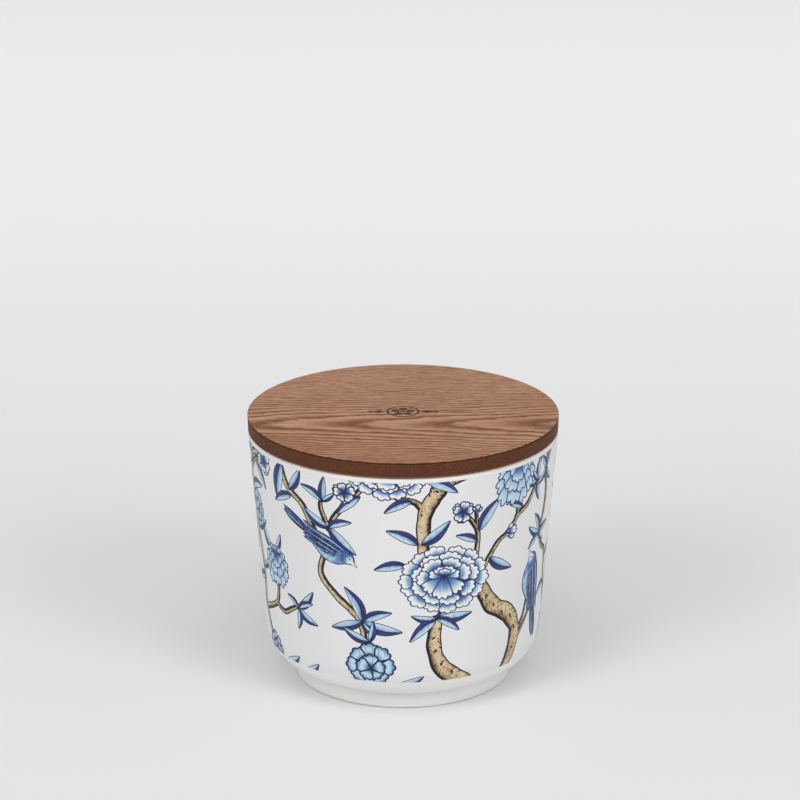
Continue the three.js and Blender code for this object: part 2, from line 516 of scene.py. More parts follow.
def sawn_edge(name, dark, light):
    """The veneer's edge: the same wood cut across, darkened by the saw and the stain. The lid's top edge gets
    tones darkened further by painted shade, its bottom edge tones lightened by painted light.
    """
    look = Look(name, Specular_IOR_Level=0.25)
    fibre = look.noise((0.5, 0.5, 3.0), 3)
    look.colour(look.mix(fibre, dark, light))
    look.roughness(fibre.to(0.55, 0.75))
    look.bump(fibre, 0.06)
    return look.material


def fibreboard():
    """Stained fibreboard: matted fine fibres, paler worn specks and slow changes of tone."""
    look = Look("fibreboard", Specular_IOR_Level=0.15)
    matted = look.noise((1.1, 1.1, 2.2), 4, 0.65)
    tone = look.mix(look.step(matted, 0.3, 0.72), rgb(76, 42, 26), rgb(104, 62, 39))
    fleck = look.step(look.cells((0.9, 0.9, 2.6)), 0.3, 0.08)
    tone = look.mix(fleck * 0.4, tone, rgb(134, 92, 68))
    cloud = look.noise((0.06, 0.06, 0.2), 2).to(0.86, 1.12)
    look.colour(look.mix(1.0, tone, cloud, "MULTIPLY"))
    look.roughness(matted.to(0.5, 0.72))
    look.bump(matted, 0.08)
    return look.material


# ---- the print: a drawing on the unrolled wall, in millimetres
INKS = {
    "ground": (227, 227, 228),
    "outline": (34, 37, 76),
    "navy": (48, 53, 108),
    "violet": (72, 73, 131),
    "royal": (63, 88, 145),
    "mid": (92, 129, 178),
    "sky": (144, 182, 211),
    "pale": (192, 217, 230),
    "cream": (232, 233, 227),
    "sand": (222, 205, 169),
    "tan": (196, 173, 133),
    "bark": (130, 103, 75),
    "umber": (66, 48, 38),
    "black": (26, 24, 30),
}
# Stops of the blended paints, each a place on the paint's scale and an ink.
PETAL_INKS = {
    "cream": [(0, "navy"), (0.34, "royal"), (0.5, "mid"), (0.6, "sky"), (0.72, "cream")],
    "heart": [(0, "outline"), (0.18, "royal"), (0.4, "mid"), (0.6, "sky"), (0.78, "cream")],
    "shell": [(0, "navy"), (0.14, "royal"), (0.28, "mid"), (0.4, "sky"), (0.54, "pale"), (0.68, "pale"),
              (0.8, "sky"), (0.9, "mid"), (1, "navy")],
    "fringe": [(0, "navy"), (0.22, "royal"), (0.42, "mid"), (0.6, "sky"), (0.8, "pale"), (0.93, "pale"),
               (1, "sky")],
}
DARK_LEAF_INKS = [(0, "outline"), (0.4, "navy"), (0.8, "violet"), (1.2, "royal")]
LIGHT_LEAF_INKS = [(0, "royal"), (0.14, "mid"), (0.32, "sky"), (0.8, "pale")]
WOOD_INKS = [(0, "sand"), (0.3, "tan"), (0.68, "bark"), (1, "umber")]
WING_INKS = [(0, "outline"), (0.26, "navy"), (0.5, "royal"), (0.75, "mid"), (1.0, "sky")]
BODY_INKS = [(0, "navy"), (0.3, "royal"), (0.6, "mid"), (0.85, "sky"), (1.0, "pale")]
FACE_INKS = [(0, "cream"), (0.5, "pale"), (0.85, "mid"), (1.2, "royal")]

FINE, LINE, PETAL_LINE, BOLD = 0.24, 0.46, 0.56, 0.75  # widths of the pen's lines
WOOD_TRIM = 0.55  # taken off a limb's wood for the dark line on either side


def ink(name):
    return np.array(INKS[name], float) / 255


def ramp(stops, at):
    """Colours along a ramp of (place, ink name) stops."""
    places = [place for place, _ in stops]
    colours = np.array([ink(name) for _, name in stops])
    return np.stack([np.interp(at, places, colours[:, k]) for k in range(3)], axis=-1)


def mottle(points, size):
    """Smooth random values from 0 to 1 over the print, in patches of about this size."""
    cell = np.floor(points / size)
    part = points / size - cell
    part = part * part * (3 - 2 * part)

    def corner(dx, dy):
        wave = np.sin((cell[:, 0] + dx) * 127.1 + (cell[:, 1] + dy) * 311.7) * 43758.5453
        return wave - np.floor(wave)

    low = corner(0, 0) * (1 - part[:, 0]) + corner(1, 0) * part[:, 0]
    high = corner(0, 1) * (1 - part[:, 0]) + corner(1, 1) * part[:, 0]
    return low * (1 - part[:, 1]) + high * part[:, 1]


class Place:
    """A place on the print with its own origin, turn and stretch."""

    def __init__(self, matrix):
        self.matrix = matrix
        self.inverse = np.linalg.inv(matrix)

    def at(self, x, y, turn=0.0, wide=1.0, high=None):
        """A place inside this one, turned by degrees and stretched along its own axes."""
        c, s = math.cos(math.radians(turn)), math.sin(math.radians(turn))
        high = wide if high is None else high
        return Place(self.matrix @ np.array([[c * wide, -s * high, x], [s * wide, c * high, y], [0, 0, 1]]))

    def out(self, points):
        return points @ self.matrix[:2, :2].T + self.matrix[:2, 2]

    def back(self, points):
        return points @ self.inverse[:2, :2].T + self.inverse[:2, 2]


def polar(degrees, reach):
    """The point at a direction and a distance."""
    angle = math.radians(degrees)
    return np.array([math.cos(angle), math.sin(angle)]) * reach


def nearest(points, others):
    """For each point, the number of the nearest of the others."""
    return ((points[:, None] - others) ** 2).sum(axis=2).argmin(axis=1)


def ellipse(x, y, wide, high, steps=12):
    turn = np.linspace(0, 2 * np.pi, steps, endpoint=False)
    return np.stack([x + wide * np.cos(turn), y + high * np.sin(turn)], axis=1)


def smooth(points, steps=6, closed=False):
    """A smooth line through the points."""
    p = np.array(points, float)
    before = np.vstack([p[-1:] if closed else 2 * p[:1] - p[1:2], p[:-1]])
    after = np.vstack([p[1:], p[:1] if closed else 2 * p[-1:] - p[-2:-1]])
    slope = (after - before) / 2
    t = (np.arange(steps) / steps)[:, None]
    made = []
    for i in range(len(p) if closed else len(p) - 1):
        j = (i + 1) % len(p)
        from_here = (2 * t**3 - 3 * t**2 + 1) * p[i] + (t**3 - 2 * t**2 + t) * slope[i]
        made.append(from_here + (3 * t**2 - 2 * t**3) * p[j] + (t**3 - t**2) * slope[j])
    return np.vstack(made if closed else made + [p[-1:]])


def normals(path, closed=False):
    """Unit vectors to the left of a line at each of its points."""
    ahead = np.roll(path, -1, axis=0) - np.roll(path, 1, axis=0)
    if not closed:
        ahead[0] = path[1] - path[0]
        ahead[-1] = path[-1] - path[-2]
    length = np.maximum(np.linalg.norm(ahead, axis=1, keepdims=True), 1e-9)
    return np.stack([-ahead[:, 1], ahead[:, 0]], axis=1) / length


def ribbon(path, width, round_ends=False):
    """The outline of a band along a line; width is one number or one for each point."""
    half = np.broadcast_to(width, len(path))[:, None] / 2
    side = normals(path)
    left, right = path + side * half, (path - side * half)[::-1]
    if not round_ends:
        return np.vstack([left, right])
    turn = np.linspace(0, np.pi, 7)[1:-1, None]
    ahead, behind = side[-1] @ [[0, -1], [1, 0]], side[0] @ [[0, 1], [-1, 0]]
    tip = path[-1] + (side[-1] * np.cos(turn) + ahead * np.sin(turn)) * half[-1]
    tail = path[0] + (-side[0] * np.cos(turn) + behind * np.sin(turn)) * half[0]
    return np.vstack([left, tip, right, tail])


def grown(outline, by):
    """An outline moved outwards by a distance."""
    x, y = outline[:, 0], outline[:, 1]
    area = np.sum(x * np.roll(y, -1) - y * np.roll(x, -1))
    return outline - normals(outline, closed=True) * by * math.copysign(1, area)


class Print:
    """The shapes of the drawing, the lowest first. Each is an outline, a paint, and whether it is one ink."""

    def __init__(self, seed):
        self.shapes = []
        self.random = random.Random(seed)

    def jitter(self, share):
        return 1 + self.random.uniform(-share, share)

    def fill(self, here, outline, paint):
        """paint gives the colours at points that are measured from here."""
        self.shapes.append((here.out(outline), lambda points: paint(here.back(points)), False))

    def plain(self, here, outline, name):
        self.shapes.append((here.out(outline), lambda points: np.tile(ink(name), (len(points), 1)), True))

    def inked(self, here, outline, paint, line="outline", pen=LINE):
        """A filled shape with a drawn outline. paint may be the name of one ink."""
        self.plain(here, grown(outline, pen / 2), line)
        draw = self.plain if isinstance(paint, str) else self.fill
        draw(here, grown(outline, -pen / 2), paint)

    def stroke(self, here, points, width, name, steps=4, taper=(0.3, 0.15)):
        """A brush stroke, thickest at its middle; taper gives its share of width at both ends."""
        path = smooth(points, steps)
        t = np.linspace(0, 1, len(path))
        swell = taper[0] * (1 - t) + taper[1] * t + np.sin(np.pi * t) * (1 - max(taper))
        self.plain(here, ribbon(path, width * np.minimum(swell, 1)), name)


# ---- leaves and wood. A motif is drawn at a Place, named here, and a long one lies along its x axis
def leaf(art, here, length, width, bend=0.12, dark=1):
    """A pointed leaf. dark is the side of its dark half: 1 or -1."""
    t = np.linspace(0, 1, 13)
    rib = np.stack([t * length, bend * length * np.sin(np.pi * t) * (1 - 0.5 * t)], axis=1)
    half = width / 2 * np.sin(np.pi * t**0.8) ** 0.85
    side = normals(rib)
    upper = rib + side * (half * (1 - 0.2 * dark))[:, None]
    lower = rib - side * (half * (1 + 0.2 * dark))[:, None]
    art.plain(here, grown(np.vstack([lower, upper[::-1]]), LINE * 0.7), "outline")

    def shade(inks, share):
        def paint(points):
            x = np.clip(points[:, 0] / length, 0, 1)
            across = np.abs(points[:, 1] - np.interp(x, t, rib[:, 1])) / (width / 2)
            streak = mottle(points * [0.35, 1], width * 0.13)
            return ramp(inks, share * across + (1 - share) * x + 0.5 * (streak - 0.5))

        return paint

    paints = shade(DARK_LEAF_INKS, 0.55), shade(LIGHT_LEAF_INKS, 0.6)
    for edge, paint in zip((upper, lower), paints[::dark]):  # in reverse when the lower half is the dark one
        art.fill(here, np.vstack([rib, edge[::-1]]), paint)
    art.plain(here, ribbon(rib, np.linspace(BOLD * 0.8, FINE * 0.5, len(rib))), "outline")


def whorl(art, here, leaves, dark):
    """Leaves round one point, each as (direction in degrees, length)."""
    for i, (turn, length) in enumerate(leaves):
        side = dark if i % 2 else -dark
        leaf(art, here.at(0, 0, turn), length, length * 0.28, 0.12 * side * art.jitter(0.5), side)
    art.plain(here, ellipse(0, 0, 0.7, 0.6), "black")


def wood(path, width):
    """Paint for a limb: sandy and mottled, darker towards its two edges."""

    def paint(points):
        near = nearest(points, path)
        side = ((points - path[near]) * normals(path)[near]).sum(axis=1)
        shadow = np.clip(side / (width[near] / 2), -1, 1)
        patches = mottle(points, 1.5) * 0.55 + mottle(points, 0.7) * 0.45
        edge = np.where(shadow > 0, shadow**2, 0.45 * shadow**4)
        return ramp(WOOD_INKS, 0.44 * edge + 0.75 * patches**2)

    return paint


def knot(art, here, size):
    """A knot in the bark: a dark curl round an eye, with flecks beside it."""
    curl = ellipse(0, 0, size, size * 0.75)[: art.random.randint(7, 10)]
    art.plain(here, ribbon(curl, np.linspace(0.75, 0.3, len(curl)) * size**0.5), "black")
    art.plain(here, ellipse(0.1, 0.05, size * 0.46, size * 0.38, 8), "black")
    for _ in range(3):
        spot = polar(art.random.uniform(0, 360), size * art.random.uniform(1.5, 2.2))
        art.plain(here, ellipse(*spot, size * 0.34, size * 0.18, 7), "umber")


class Limb:
    """A branch of the vine, through (x, y, width) points, with knots at shares of its length."""

    def __init__(self, here, points, knots=()):
        self.here = here
        points = np.array(points)
        self.path = smooth(points[:, :2], 9)
        t = np.linspace(0, 1, len(self.path))
        width = np.interp(t, np.linspace(0, 1, len(points)), points[:, 2])
        self.width = width * (1 + 0.05 * np.sin(t * 31) + 0.04 * np.sin(t * 53 + 1)) - WOOD_TRIM
        self.knots = knots

    def draw_edge(self, art):
        """The dark line round the limb, heavier on one side."""
        rim = 0.8 + 0.02 * self.width
        moved = self.path + normals(self.path) * (rim * 0.34)[:, None]
        art.plain(self.here, ribbon(moved, self.width + rim * 1.9, round_ends=True), "black")

    def draw_wood(self, art):
        art.fill(self.here, ribbon(self.path, self.width, round_ends=True), wood(self.path, self.width))

    def draw_marks(self, art):
        """Short strokes in from both edges, flecks along the limb, and its knots."""
        path, width, side, pick = self.path, self.width, normals(self.path), art.random
        for _ in range(int(len(path) * (width.mean() + 2.5) / 12)):
            i = pick.randrange(1, len(path) - 2)
            edge = side[i] * pick.choice((1, 1, -1)) * width[i]
            start = path[i] + edge * 0.5
            run = (path[i + 1] - path[i]) * pick.uniform(0.4, 1.3)
            end = start - edge * pick.uniform(0.1, 0.32) + run
            art.stroke(self.here, [start, end], 0.58, "black", steps=3, taper=(1, 0.2))
        for _ in range(int(len(path) * width.mean() / 9)):
            i = pick.randrange(1, len(path) - 1)
            spot = path[i] + side[i] * width[i] * pick.uniform(-0.34, 0.34)
            fleck = ellipse(*spot, pick.uniform(0.18, 0.5), pick.uniform(0.14, 0.3), 7)
            art.plain(self.here, fleck, pick.choice(("umber", "bark")))
        for share in self.knots:
            i = int(share * (len(path) - 1))
            spot = path[i] + side[i] * width[i] * pick.uniform(-0.2, 0.2)
            eye = self.here.at(*spot, turn=pick.uniform(0, 360))
            knot(art, eye, min(width[i] * 0.19, 1.0) * art.jitter(0.25))


# ---- flowers
def petal(art, here, length, width, lobes, kind, line="navy", pen=PETAL_LINE):
    """A petal with a scalloped rim. kind is one of PETAL_INKS."""
    opening = math.atan2(width / 2, length * 0.8)
    rim_t = np.linspace(0, 1, lobes * 5 + 1)
    turn = (rim_t - 0.5) * 2 * opening
    scallop = np.abs(np.sin(rim_t * np.pi * lobes)) ** 0.7
    reach = length * (0.88 + 0.12 * scallop) * (1 - 0.16 * (2 * rim_t - 1) ** 2)
    rim = np.stack([reach * np.cos(turn), reach * np.sin(turn)], axis=1)
    foot = length * 0.06
    phase = art.random.uniform(0, 9)

    def paint(points):
        away = np.hypot(points[:, 0], points[:, 1]) / length
        about = np.arctan2(points[:, 1], points[:, 0])
        streak = np.sin(about * 17 / opening * 0.35 + phase) * 0.5 + np.sin(about * 29 + phase * 2) * 0.5
        return ramp(PETAL_INKS[kind], away + 0.09 * streak * (1 - away))

    art.inked(here, np.vstack([[[0, -foot]], rim, [[0, foot]]]), paint, line, pen)


def ring_of_petals(art, here, count, base, length, width, lobes, kind, turn=0.0, line="navy", pen=PETAL_LINE):
    """Petals that stand round one point, their feet at a distance from it."""
    order = list(range(count))
    art.random.shuffle(order)
    for i in order:
        angle = turn + 360 * i / count + art.random.uniform(-5, 5)
        foot = here.at(*polar(angle, base), angle + art.random.uniform(-7, 7))
        petal(art, foot, length * art.jitter(0.08), width * art.jitter(0.14), lobes, kind, line, pen)


def backing(art, here, wide, high, name="navy"):
    """A ground of ink under the petals of a flower, so that no paper shows between them."""
    art.plain(here, ellipse(0, 0, wide, high, 20), name)


def peony(art, here, r):
    """A full, many-petalled flower facing the viewer, its heart above its middle."""
    ring_of_petals(art, here, 14, 0.55 * r, 0.45 * r, 0.56 * r, 3, "cream")
    backing(art, here, 0.62 * r, 0.62 * r)
    ring_of_petals(art, here, 9, 0.36 * r, 0.42 * r, 0.7 * r, 4, "cream", turn=9)
    backing(art, here, 0.44 * r, 0.44 * r)
    heart = here.at(-0.03 * r, 0.08 * r)
    ring_of_petals(art, heart, 6, 0.2 * r, 0.4 * r, 0.76 * r, 4, "cream", turn=15)
    backing(art, heart, 0.3 * r, 0.28 * r)
    for turn, reach in ((-128, 0.6), (-52, 0.62), (-90, 0.68)):
        petal(art, heart.at(0, 0.02 * r, turn), reach * r, 0.52 * r, 4, "heart")
    for turn, reach in ((158, 0.36), (22, 0.36), (118, 0.32), (62, 0.33), (90, 0.24)):
        petal(art, heart.at(0, 0, turn), reach * r, 0.4 * r, 3, "heart")
    art.plain(heart, ellipse(0, 0.01 * r, 0.07 * r, 0.05 * r), "outline")
    for turn in range(10, 364, 28):
        reach = art.random.uniform(0.12, 0.24) * r
        art.stroke(heart, [polar(turn, 0.03 * r), polar(turn, reach)], 0.3, "outline", 3, (1, 0.2))


def rosette(art, here, r):
    """A smaller, rounder flower: a ruff of broad petals behind an open one of five."""
    backing(art, here, 0.72 * r, 0.72 * r, "royal")
    ring_of_petals(art, here, 8, 0.3 * r, 0.72 * r, 0.98 * r, 3, "shell", 0, "outline", BOLD)
    backing(art, here, 0.52 * r, 0.5 * r)
    front = here.at(0.06 * r, -0.12 * r)
    ring_of_petals(art, front, 5, 0.0, 0.62 * r, 0.86 * r, 3, "shell", 90, "outline", BOLD)
    for turn in range(54, 414, 72):
        art.stroke(front, [polar(turn, 0.04 * r), polar(turn, 0.3 * r)], 0.32, "outline", 3, (1, 0.3))
    art.plain(front, ellipse(0, 0, 0.09 * r, 0.08 * r, 8), "outline")


def blossom(art, here, r):
    """A small open flower of five round petals over a few half-hidden ones."""
    for turn in (35, 150, 270):
        petal(art, here.at(0, 0, turn), r * 1.12, r * 0.9, 2, "cream", "outline")
    ring_of_petals(art, here, 5, 0.0, r, r * 1.15, 2, "cream", 90, "outline")
    art.plain(here, ellipse(0, 0, 0.2 * r, 0.18 * r, 8), "outline")
    for turn in range(54, 414, 72):
        art.plain(here, ellipse(*polar(turn, 0.38 * r), 0.08 * r, 0.08 * r, 6), "outline")


def bud(art, here, length):
    """A closed flower."""
    for turn, share in ((28, 0.85), (-28, 0.85), (0, 1)):
        petal(art, here.at(0, 0, turn), length * share, length * 0.62, 2, "cream")
    for turn in (24, -24):
        leaf(art, here.at(-0.1 * length, 0, turn), length * 0.5, length * 0.2)


def drooping_flower(art, here, length):
    """A hanging, ruffled flower: short petals round its top, then three rows of long ones."""
    petals = [
        (155, 0.26), (-150, 0.27), (112, 0.36), (-108, 0.38), (82, 0.5), (-84, 0.48),
        (60, 0.66), (-62, 0.64), (38, 0.84), (-38, 0.82), (18, 0.97), (-19, 1.0), (0, 0.95),
        (66, 0.42), (-64, 0.42), (40, 0.58), (-40, 0.57), (14, 0.68), (-16, 0.66),
        (48, 0.34), (-46, 0.33), (2, 0.42),
    ]
    for turn, share in petals:
        petal(art, here.at(0, 0, turn), length * share, length * 0.47, 3, "fringe")


# ---- birds
# The tail: each feather's direction and length.
TAIL = [(187, 14), (174, 15), (183.5, 16.5), (177, 17.5), (180.5, 16)]
# Rows of feathers on the folded wing, the longest first: how many, the place, direction and length of the
# first, what each next one adds to these, the width and the inks.
WING_ROWS = [
    (5, (1, 2.6, 177, 13.5), (-0.3, -0.95, 4.5, -1.1), 2.0, WING_INKS),
    (5, (4.6, 2.9, 180, 7.6), (-0.2, -1.05, 5, -0.4), 2.1, WING_INKS),
    (4, (5.4, 2.7, 182, 3.4), (-0.15, -1.15, 7, 0), 1.9, BODY_INKS),
    (4, (7.4, 2.7, 182, 2.8), (-0.15, -1.15, 7, 0), 1.9, BODY_INKS),
]
# Long pen strokes over the wing: the ink, the width and points along each.
WING_STROKES = [
    ("sky", 0.75, [(9.5, 3.5), (4, 3.9), (-2, 3.3), (-8, 2.2)]),
    ("black", 0.5, [(9, 2.6), (5, 2.5), (0, 2.0), (-6, 1.4), (-11, 0.8)]),
    ("sky", 0.45, [(8.6, 1.7), (4, 1.5), (-1, 1.0), (-7, 0.4)]),
    ("black", 0.6, [(8, 0.8), (3, 0.4), (-3, -0.3), (-9, -0.7)]),
    ("sky", 0.4, [(6.6, -0.3), (2, -0.7), (-3, -1.3)]),
    ("black", 0.5, [(6.5, -1.1), (1, -1.7), (-4, -2.2)]),
    ("pale", 0.45, [(8.5, -3.0), (3, -3.9), (-2, -3.3)]),
]


def feather(art, here, length, width, inks):
    """A long rounded feather with a pale streak."""
    t = np.linspace(0, 1, 9)
    half = width / 2 * np.sin(np.pi * t**0.62) ** 0.55
    lower, upper = (np.stack([t * length, way * half], axis=1) for way in (-1, 1))

    def paint(points):
        edge = np.abs(points[:, 1]) / (width / 2)
        barb = mottle(points * [0.5, 1.4], 0.55)
        return ramp(inks, 0.45 * points[:, 0] / length + 0.3 * edge + 0.35 * (barb - 0.3))

    art.inked(here, np.vstack([lower, upper[::-1][1:]]), paint, pen=FINE * 1.6)
    streak = [(length * 0.2, width * 0.2), (length * 0.6, width * 0.26), (length * 0.88, width * 0.1)]
    art.stroke(here, streak, width * 0.16, "sky")


def plumage(points):
    """Paint for the bird's body, dark on the back and pale below."""
    down = np.clip((4.5 - points[:, 1]) / 9, 0, 1)
    return ramp(BODY_INKS, 0.85 * down + 0.45 * (mottle(points * [0.7, 1], 0.9) - 0.35))


def face(points):
    """Paint for the bird's pale face."""
    away = np.hypot(points[:, 0] - 14.6, points[:, 1] - 0.4) / 3.2
    return ramp(FACE_INKS, away + 0.25 * (mottle(points, 0.8) - 0.5))


def bird(art, here):
    """A songbird 42 long that faces along the x axis with its back up. Its middle is here."""
    for turn, length in TAIL:
        feather(art, here.at(-7, 0.3, turn), length, 2.6, WING_INKS)
    body = [(16, 0.4), (14.4, 3.4), (11, 4.4), (6, 4.9), (-2, 4.3), (-9, 1.6), (-9, -0.7), (-3, -3.6),
            (4, -5.4), (9.5, -4.2), (13, -1.4)]
    art.inked(here, smooth(body, 5, closed=True), plumage)
    for _ in range(26):
        x, y = art.random.uniform(-4, 10), art.random.uniform(-4, -1)
        art.stroke(here, [(x, y), (x - 1.1, y - 0.25)], 0.2, "royal", steps=2)
    for count, first, change, width, inks in WING_ROWS:
        for i in range(count):
            x, y, turn, length = np.array(first) + i * np.array(change)
            feather(art, here.at(x, y, turn), length, width, inks)
    for name, width, line in WING_STROKES:
        art.stroke(here, line, width, name)
    art.inked(here, smooth([(15.1, 1.5), (17.9, 0.0), (15.1, -0.3)], 4, closed=True), "cream", pen=FINE)
    art.stroke(here, [(17.8, 0.05), (16.2, 0.45), (15, 0.5)], 0.2, "black", steps=3)
    cheek = [(15.4, 0.6), (14, 3.1), (11, 3.9), (9.4, 1.9), (10.6, -1.1), (13.2, -1.0)]
    art.fill(here, smooth(cheek, 4, closed=True), face)
    art.plain(here, ellipse(13.4, 1.35, 0.72, 0.66, 10), "cream")
    art.plain(here, ellipse(13.5, 1.35, 0.46, 0.44, 8), "black")


# ---- one repeat of the vine, in millimetres round the wall from the front and up from the print's lower edge
# Trunks: places along each with its width there, and where its knots are, from 0 to 1 along it.
TRUNKS = [
    ([(14, -21, 5.5), (22, -17, 6), (30, -9, 6.4), (25, -1, 6.8), (16, 6, 6.2), (12.5, 15, 5), (13, 26, 4.2)],
     (0.5, 0.6, 0.72, 0.8, 0.9)),
    ([(32, -11, 3.5), (43, -9, 4.4), (48, 2, 5), (51, 14, 5.6), (46, 23, 6.4), (37, 29, 6.2), (31, 38, 5.4)],
     (0.3, 0.42, 0.55, 0.63, 0.74, 0.82, 0.92)),
    ([(22, 87, 6), (14, 83, 5.5), (12, 79, 5.2), (7.5, 70, 4.8), (7, 53, 3.2)],
     (0.5, 0.75)),
]
# Stems, the same way but without knots.
STEMS = [
    [(8, 71, 2.2), (4.5, 75.5, 1.7), (-2, 77.5, 1.4), (-6, 82, 1.1)],
    [(-53, 96, 1.8), (-50.5, 84, 1.9), (-47, 75, 2.1), (-40, 69.5, 2), (-36, 62, 1.9), (-33, 57, 1.5)],
    [(-28, 62, 1.5), (-31, 70, 1.3), (-30.5, 74, 0.8)],
    [(-28.5, 62, 1.3), (-25, 68, 1.5), (-19, 75, 1.4), (-13, 82, 1.2)],
    [(-36, 64, 1.2), (-32, 62.5, 1.1), (-28, 62.5, 1.2)],
    [(-30.5, 53, 1.4), (-33, 43, 1.9), (-27, 35, 2.2), (-20, 29, 2.2), (-16.5, 24, 1.9), (-15, 12, 1.4)],
    [(27, 46, 1.6), (28.5, 53, 1.5), (28.5, 61, 1.3), (25, 67, 1.1), (22.5, 69, 1)],
    [(28.4, 61, 1), (27.6, 69, 0.8)],
    [(31, 44, 1.7), (37.5, 54, 1.4), (42, 57, 1.2), (46, 61, 1.3), (48, 66, 1.3)],
    [(47, 63, 1.4), (53, 66, 1.6), (57.5, 72, 1.3)],
    [(47.5, 63, 1.3), (47, 70, 1.2), (45, 76, 1)],
    [(50, 8, 1.5), (56, 14, 1.2), (61, 20, 1)],
    [(50, 10, 1.2), (56, 18, 1), (58, 25, 0.8)],
    [(64, 50, 1), (68, 44, 1.3), (73, 40, 1.5), (75, 30, 1.7), (80, 18, 1.8)],
    [(-58, 33, 1.2), (-60, 24, 1.4), (-66, 20, 1.7), (-74, 17, 1.9)],
    [(-61, 22.5, 1.3), (-55, 20.5, 1.5), (-50, 23, 1.3), (-46.5, 25, 1)],
    [(-74, 17, 1.9), (-72, 34, 2.2), (-76, 50, 2.4), (-79, 66, 2.3), (-74, 80, 2.1), (-62, 84, 1.9),
     (-50, 96, 1.6)],
    [(-74, 17, 1.9), (-70.5, 9, 1.7), (-66, 2, 1.5), (-60, -2.5, 1.4), (-52, -4.5, 1.3), (-44, -6, 1.2),
     (-37, -10, 1)],
    [(80, 18, 1.9), (86, 6, 2), (84, -12, 2.1), (93, -22, 2.2)],
    [(93, 82, 2.2), (88, 70, 2.1), (91, 57, 1.9), (85, 46, 1.8), (82, 34, 1.7), (80, 18, 1.8)],
    [(-79, 62, 1.4), (-86, 54, 1.2), (-89, 44, 1)],
    [(22, 87, 1.8), (33, 90, 1.4), (38, 95, 1)],
    [(57.5, 72, 1.3), (60, 84, 1.2), (56, 94, 1)],
    [(64, 50.5, 1.2), (67.5, 59, 1.4), (68, 68, 1.4), (65.5, 78, 1.3), (69, 90, 1.2)],
    [(-76, 74, 1.4), (-70, 79, 1.3), (-63, 80, 1.2)],
]
# Tufts of leaves round a node: its place, then the direction and length of each leaf.
TUFTS = [
    (-28.5, 62.5, [(20, 10), (-42, 14.5), (150, 12)]),
    (-30.5, 73, [(152, 10.5), (84, 10), (38, 6.5)]),
    (13, 27, [(38, 13), (3, 14.5), (-32, 11), (222, 14), (172, 10)]),
    (-16, 25, [(116, 15.5), (22, 12.5), (-12, 16), (196, 13.5), (-46, 7)]),
    (-13.5, 17, [(155, 11.5), (78, 9)]),
    (-45.5, 25, [(46, 12), (24, 8.5), (-27, 11), (-95, 9), (146, 7.5)]),
    (59, 74, [(86, 9.5), (6, 7.5), (184, 7.5), (-76, 9), (130, 7)]),
    (64, 50.5, [(116, 10.5), (150, 10), (208, 9), (18, 9), (-40, 6)]),
    (-75, 79, [(100, 9), (165, 9), (220, 8)]),
    (81, 22, [(150, 9), (60, 10), (-20, 9), (-70, 8)]),
    (89, 62, [(40, 11), (-15, 10), (160, 10), (200, 8)]),
    (-89, 44, [(120, 9), (200, 10), (260, 9), (330, 8)]),
    (84, -9, [(30, 10), (150, 10), (200, 9)]),
    (-50.5, 96, [(60, 10), (120, 10), (10, 9)]),
    (22, 94, [(40, 12), (100, 10), (-20, 11)]),
    (-22, 96, [(70, 10), (150, 12), (200, 10)]),
    (56, 94, [(80, 10), (160, 10), (10, 10), (-60, 8)]),
    (-37, -10, [(30, 9), (-30, 10), (95, 7)]),
    (66, 77, [(60, 9), (128, 8), (214, 9), (-50, 8)]),
]
# Single leaves: the place of the foot, the direction and the length.
LEAVES = [
    (-49.5, 84, -103, 17), (-45, 72, 205, 11), (-46, 74, 58, 11.5), (-15.5, 77, 222, 12), (3, 76, 207, 11),
    (5.5, 58, 154, 13), (6.5, 58, 40, 14), (1, 49.5, 190, 12), (28.8, 61, 54, 15), (28.5, 57, 158, 9.5),
    (34, 49, -30, 13.5), (8, 84, -26, 13), (50, 66, 160, 8), (-58, 45, 62, 9), (-61, 44, 128, 13),
    (-75.5, 50, 25, 12), (-78, 66, 15, 13), (-78, 66, 160, 9), (-72, 34, 35, 9), (-72, 30, 200, 11),
    (-59, -2.5, 28, 13), (-4, -3, 24, 13.5), (90, 56, 200, 11), (85, 45, 20, 10),
    (73.5, 38, 30, 10), (76, 27, 205, 10), (28, -10, 160, 10), (-70, 78, -48, 12), (-48, -5, 36, 14),
]
# Flowers: how they are drawn, then for each its size and its place, turn and stretch.
FLOWERS = [
    (drooping_flower, [(14, -58.5, 43.5, -92), (17, 46.5, 84, -100)]),
    (rosette, [(8, -73, 58, 0, 0.8, 1), (6, -66, 2.5), (10, -13.5, 7, 0, 1, 0.92)]),
    (peony, [(16, -5, 89.5, 180, 1, 0.86), (18, 16, 43, -4, 1, 0.8)]),
    (rosette, [(9, 90, 74, 0, 1, 0.9), (8.5, 85.5, 3, 0, 1, 0.9)]),
    (blossom, [(5, -62, 80.5, 20), (4.2, -21.5, 78, 10), (4.2, 22, 70, -10), (4.4, -89, 33), (5, 38, 95),
               (4.6, 69, 91, 15)]),
    (bud, [(3.6, 27.5, 68.5, 80), (6, 41.5, 57, 10), (6, -40, 92, 60)]),
]
# Birds: the place, turn and stretch of each.
BIRDS = [(-31.5, 55.5, -29, 0.9), (61.5, 28.5, 104, 0.98, -1.2)]
# Where the repeats stand: two side by side round the wall and two high, the back ones set lower.
REPEATS = [
    (0, 0),
    (0, REPEAT_HEIGHT),
    (HALF_ROUND, -BACK_DROP),
    (HALF_ROUND, REPEAT_HEIGHT - BACK_DROP),
]


def draw_limbs(art, repeats):
    """The wood of all the repeats: every dark edge first, so that none lies over a limb that it meets."""
    limbs = [Limb(here, stem) for here in repeats for stem in STEMS]
    limbs += [Limb(here, *trunk) for here in repeats for trunk in TRUNKS]
    for draw in (Limb.draw_edge, Limb.draw_wood, Limb.draw_marks):
        for limb in limbs:
            draw(limb, art)


